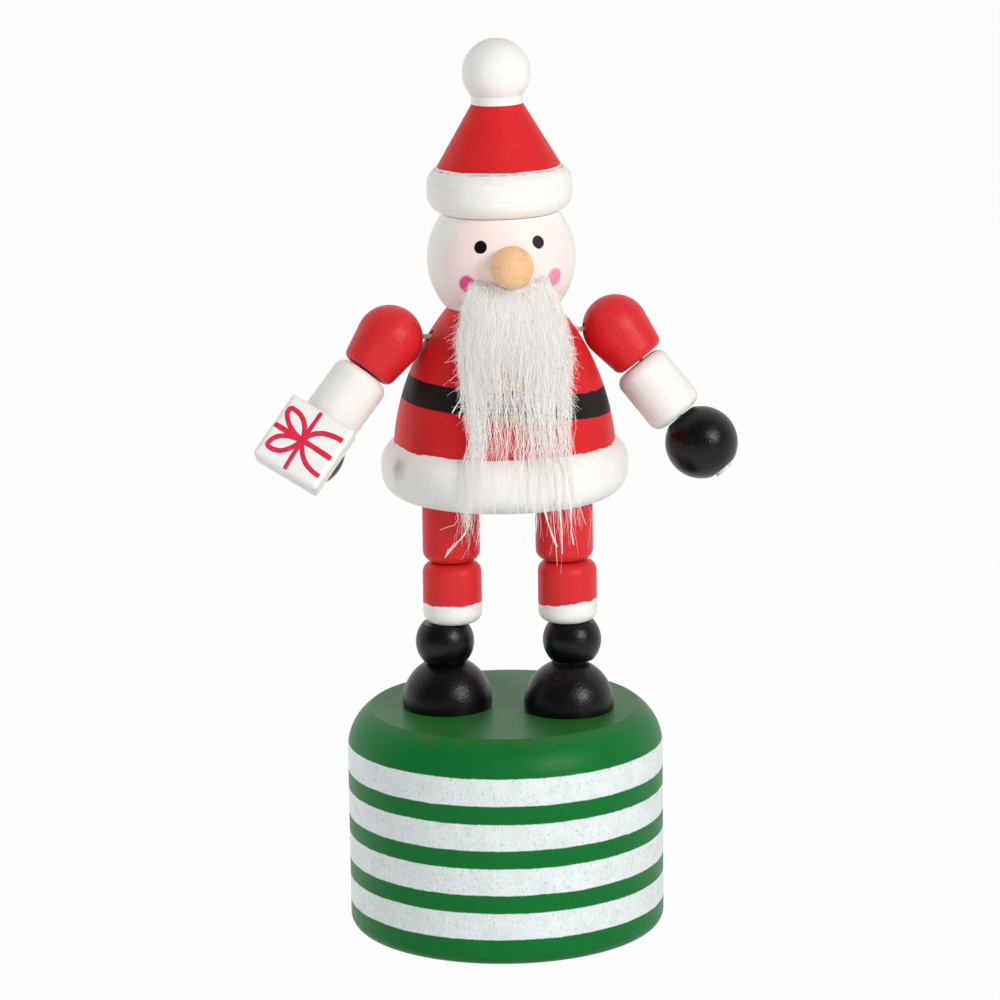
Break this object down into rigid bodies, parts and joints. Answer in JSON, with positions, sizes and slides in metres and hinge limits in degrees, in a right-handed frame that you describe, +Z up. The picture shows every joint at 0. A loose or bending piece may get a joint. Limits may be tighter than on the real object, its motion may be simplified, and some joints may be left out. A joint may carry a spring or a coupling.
{
  "type": "push puppet",
  "caption": "Wooden push puppet: a strung bead figure with a beard and a pointed hat stands on a striped drum base and bows when the spring button below is pressed.",
  "frame": {"origin": "middle of the drum's foot, on the surface it stands on", "axes": "+Z up the figure, -Y the way the face looks, +X to the viewer's right"},
  "size_m": [0.0748, 0.05, 0.1414],
  "materials": {
    "green_paint": "glossy paint with printed white stripes",
    "red_paint": "satin paint",
    "coat_paint": "satin paint, white hem, black belt with a yellow buckle",
    "black_paint": "glossy paint",
    "white_paint": "satin paint",
    "trouser_paint": "satin red paint with a white cuff",
    "face_paint": "satin paint, painted eyes and cheeks",
    "gift_paint": "white with a red painted bow",
    "bare_wood": "bare, waxed",
    "nose_wood": "bare, varnished",
    "hair": "loose combed fibre",
    "cord": "braided",
    "spring_steel": "bright wire"
  },
  "bodies": {
    "base": {"base": "green_paint", "left_shoe": "black_paint", "right_shoe": "black_paint", "spring": "spring_steel"},
    "button": {"button": "bare_wood", "cord_knots": "cord", "left_cord": "cord", "right_cord": "cord"},
    "left_ankle": {"left_ankle": "black_paint"},
    "left_shin": {"left_shin": "trouser_paint"},
    "left_thigh": {"left_thigh": "red_paint"},
    "right_ankle": {"right_ankle": "black_paint"},
    "right_shin": {"right_shin": "trouser_paint"},
    "right_thigh": {"right_thigh": "red_paint"},
    "torso": {"torso": "coat_paint", "arm_cord": "cord"},
    "head": {"head": "face_paint", "hat": "red_paint", "bobble": "white_paint", "nose": "nose_wood", "beard": "hair", "crown_knot": "cord"},
    "left_upper_arm": {"left_upper_arm": "red_paint"},
    "left_forearm": {"left_forearm": "white_paint"},
    "left_hand": {"left_hand": "black_paint", "left_plug": "white_paint", "gift_block": "gift_paint"},
    "right_upper_arm": {"right_upper_arm": "red_paint"},
    "right_forearm": {"right_forearm": "white_paint"},
    "right_hand": {"right_hand": "black_paint", "right_plug": "white_paint"}
  },
  "joints": [
    {"name": "left_ankle_rock", "type": "hinge", "parent": "base", "child": "left_ankle", "pos_m": [-0.0086, -0.00468, 0.04317], "axis": [1, 0, 0], "range_deg": [0, 20]},
    {"name": "left_shin_rock", "type": "hinge", "parent": "left_ankle", "child": "left_shin", "pos_m": [-0.0086, -0.00465, 0.04942], "axis": [1, 0, 0], "range_deg": [0, 22]},
    {"name": "left_knee_rock", "type": "hinge", "parent": "left_shin", "child": "left_thigh", "pos_m": [-0.0086, -0.00465, 0.05933], "axis": [1, 0, 0], "range_deg": [0, 23]},
    {"name": "right_ankle_rock", "type": "hinge", "parent": "base", "child": "right_ankle", "pos_m": [0.0102, -0.00468, 0.04317], "axis": [1, 0, 0], "range_deg": [0, 20]},
    {"name": "right_shin_rock", "type": "hinge", "parent": "right_ankle", "child": "right_shin", "pos_m": [0.0102, -0.00465, 0.04942], "axis": [1, 0, 0], "range_deg": [0, 22]},
    {"name": "right_knee_rock", "type": "hinge", "parent": "right_shin", "child": "right_thigh", "pos_m": [0.0102, -0.00465, 0.05933], "axis": [1, 0, 0], "range_deg": [0, 23]},
    {"name": "bow", "type": "hinge", "parent": "base", "child": "torso", "pos_m": [0.00055, -0.00919, 0.05604], "axis": [1, 0, 0], "range_deg": [0, 89]},
    {"name": "neck_rock", "type": "hinge", "parent": "torso", "child": "head", "pos_m": [0.00162, -0.00873, 0.09988], "axis": [0.9925, 0.1219, 0], "range_deg": [0, 22], "deforming": ["beard"]},
    {"name": "button_press", "type": "slide", "parent": "base", "child": "button", "axis": [0, 0, 1], "range_m": [0, 0.0072], "stiffness_N_per_m": 200, "springref_m": -0.0075, "deforming": ["spring", "left_cord", "right_cord"]},
    {"name": "left_shoulder", "type": "hinge", "parent": "torso", "child": "left_upper_arm", "pos_m": [-0.01707, -0.00342, 0.09535], "axis": [-0.9816, -0.1908, 0], "range_deg": [-60, 150], "deforming": ["arm_cord"]},
    {"name": "left_elbow", "type": "hinge", "parent": "left_upper_arm", "child": "left_forearm", "pos_m": [-0.02087, -0.00827, 0.09144], "axis": [-0.808, 0.1821, 0.5604], "range_deg": [0, 25], "stiffness_Nm_per_rad": 0.004},
    {"name": "left_wrist", "type": "hinge", "parent": "left_forearm", "child": "left_hand", "pos_m": [-0.02725, -0.01054, 0.08315], "axis": [-0.8028, 0.1842, 0.567], "range_deg": [0, 12], "stiffness_Nm_per_rad": 0.004},
    {"name": "right_shoulder", "type": "hinge", "parent": "torso", "child": "right_upper_arm", "pos_m": [0.01817, 0.00342, 0.09535], "axis": [-0.9816, -0.1908, 0], "range_deg": [-60, 150]},
    {"name": "right_elbow", "type": "hinge", "parent": "right_upper_arm", "child": "right_forearm", "pos_m": [0.02214, -0.00081, 0.09094], "axis": [-0.788, -0.1069, -0.6063], "range_deg": [0, 25], "stiffness_Nm_per_rad": 0.004},
    {"name": "right_wrist", "type": "hinge", "parent": "right_forearm", "child": "right_hand", "pos_m": [0.02809, -0.00196, 0.08207], "axis": [-0.7826, -0.1081, -0.6131], "range_deg": [0, 20], "stiffness_Nm_per_rad": 0.004}
  ],
  "couplings": [
    {"joint": "left_ankle_rock", "follows": "button_press", "rad_per_m": 48.48},
    {"joint": "left_shin_rock", "follows": "button_press", "rad_per_m": 53.329},
    {"joint": "left_knee_rock", "follows": "button_press", "rad_per_m": 55.753},
    {"joint": "right_ankle_rock", "follows": "button_press", "rad_per_m": 48.48},
    {"joint": "right_shin_rock", "follows": "button_press", "rad_per_m": 53.329},
    {"joint": "right_knee_rock", "follows": "button_press", "rad_per_m": 55.753},
    {"joint": "bow", "follows": "button_press", "rad_per_m": 215.74},
    {"joint": "neck_rock", "follows": "button_press", "rad_per_m": 53.329}
  ]
}
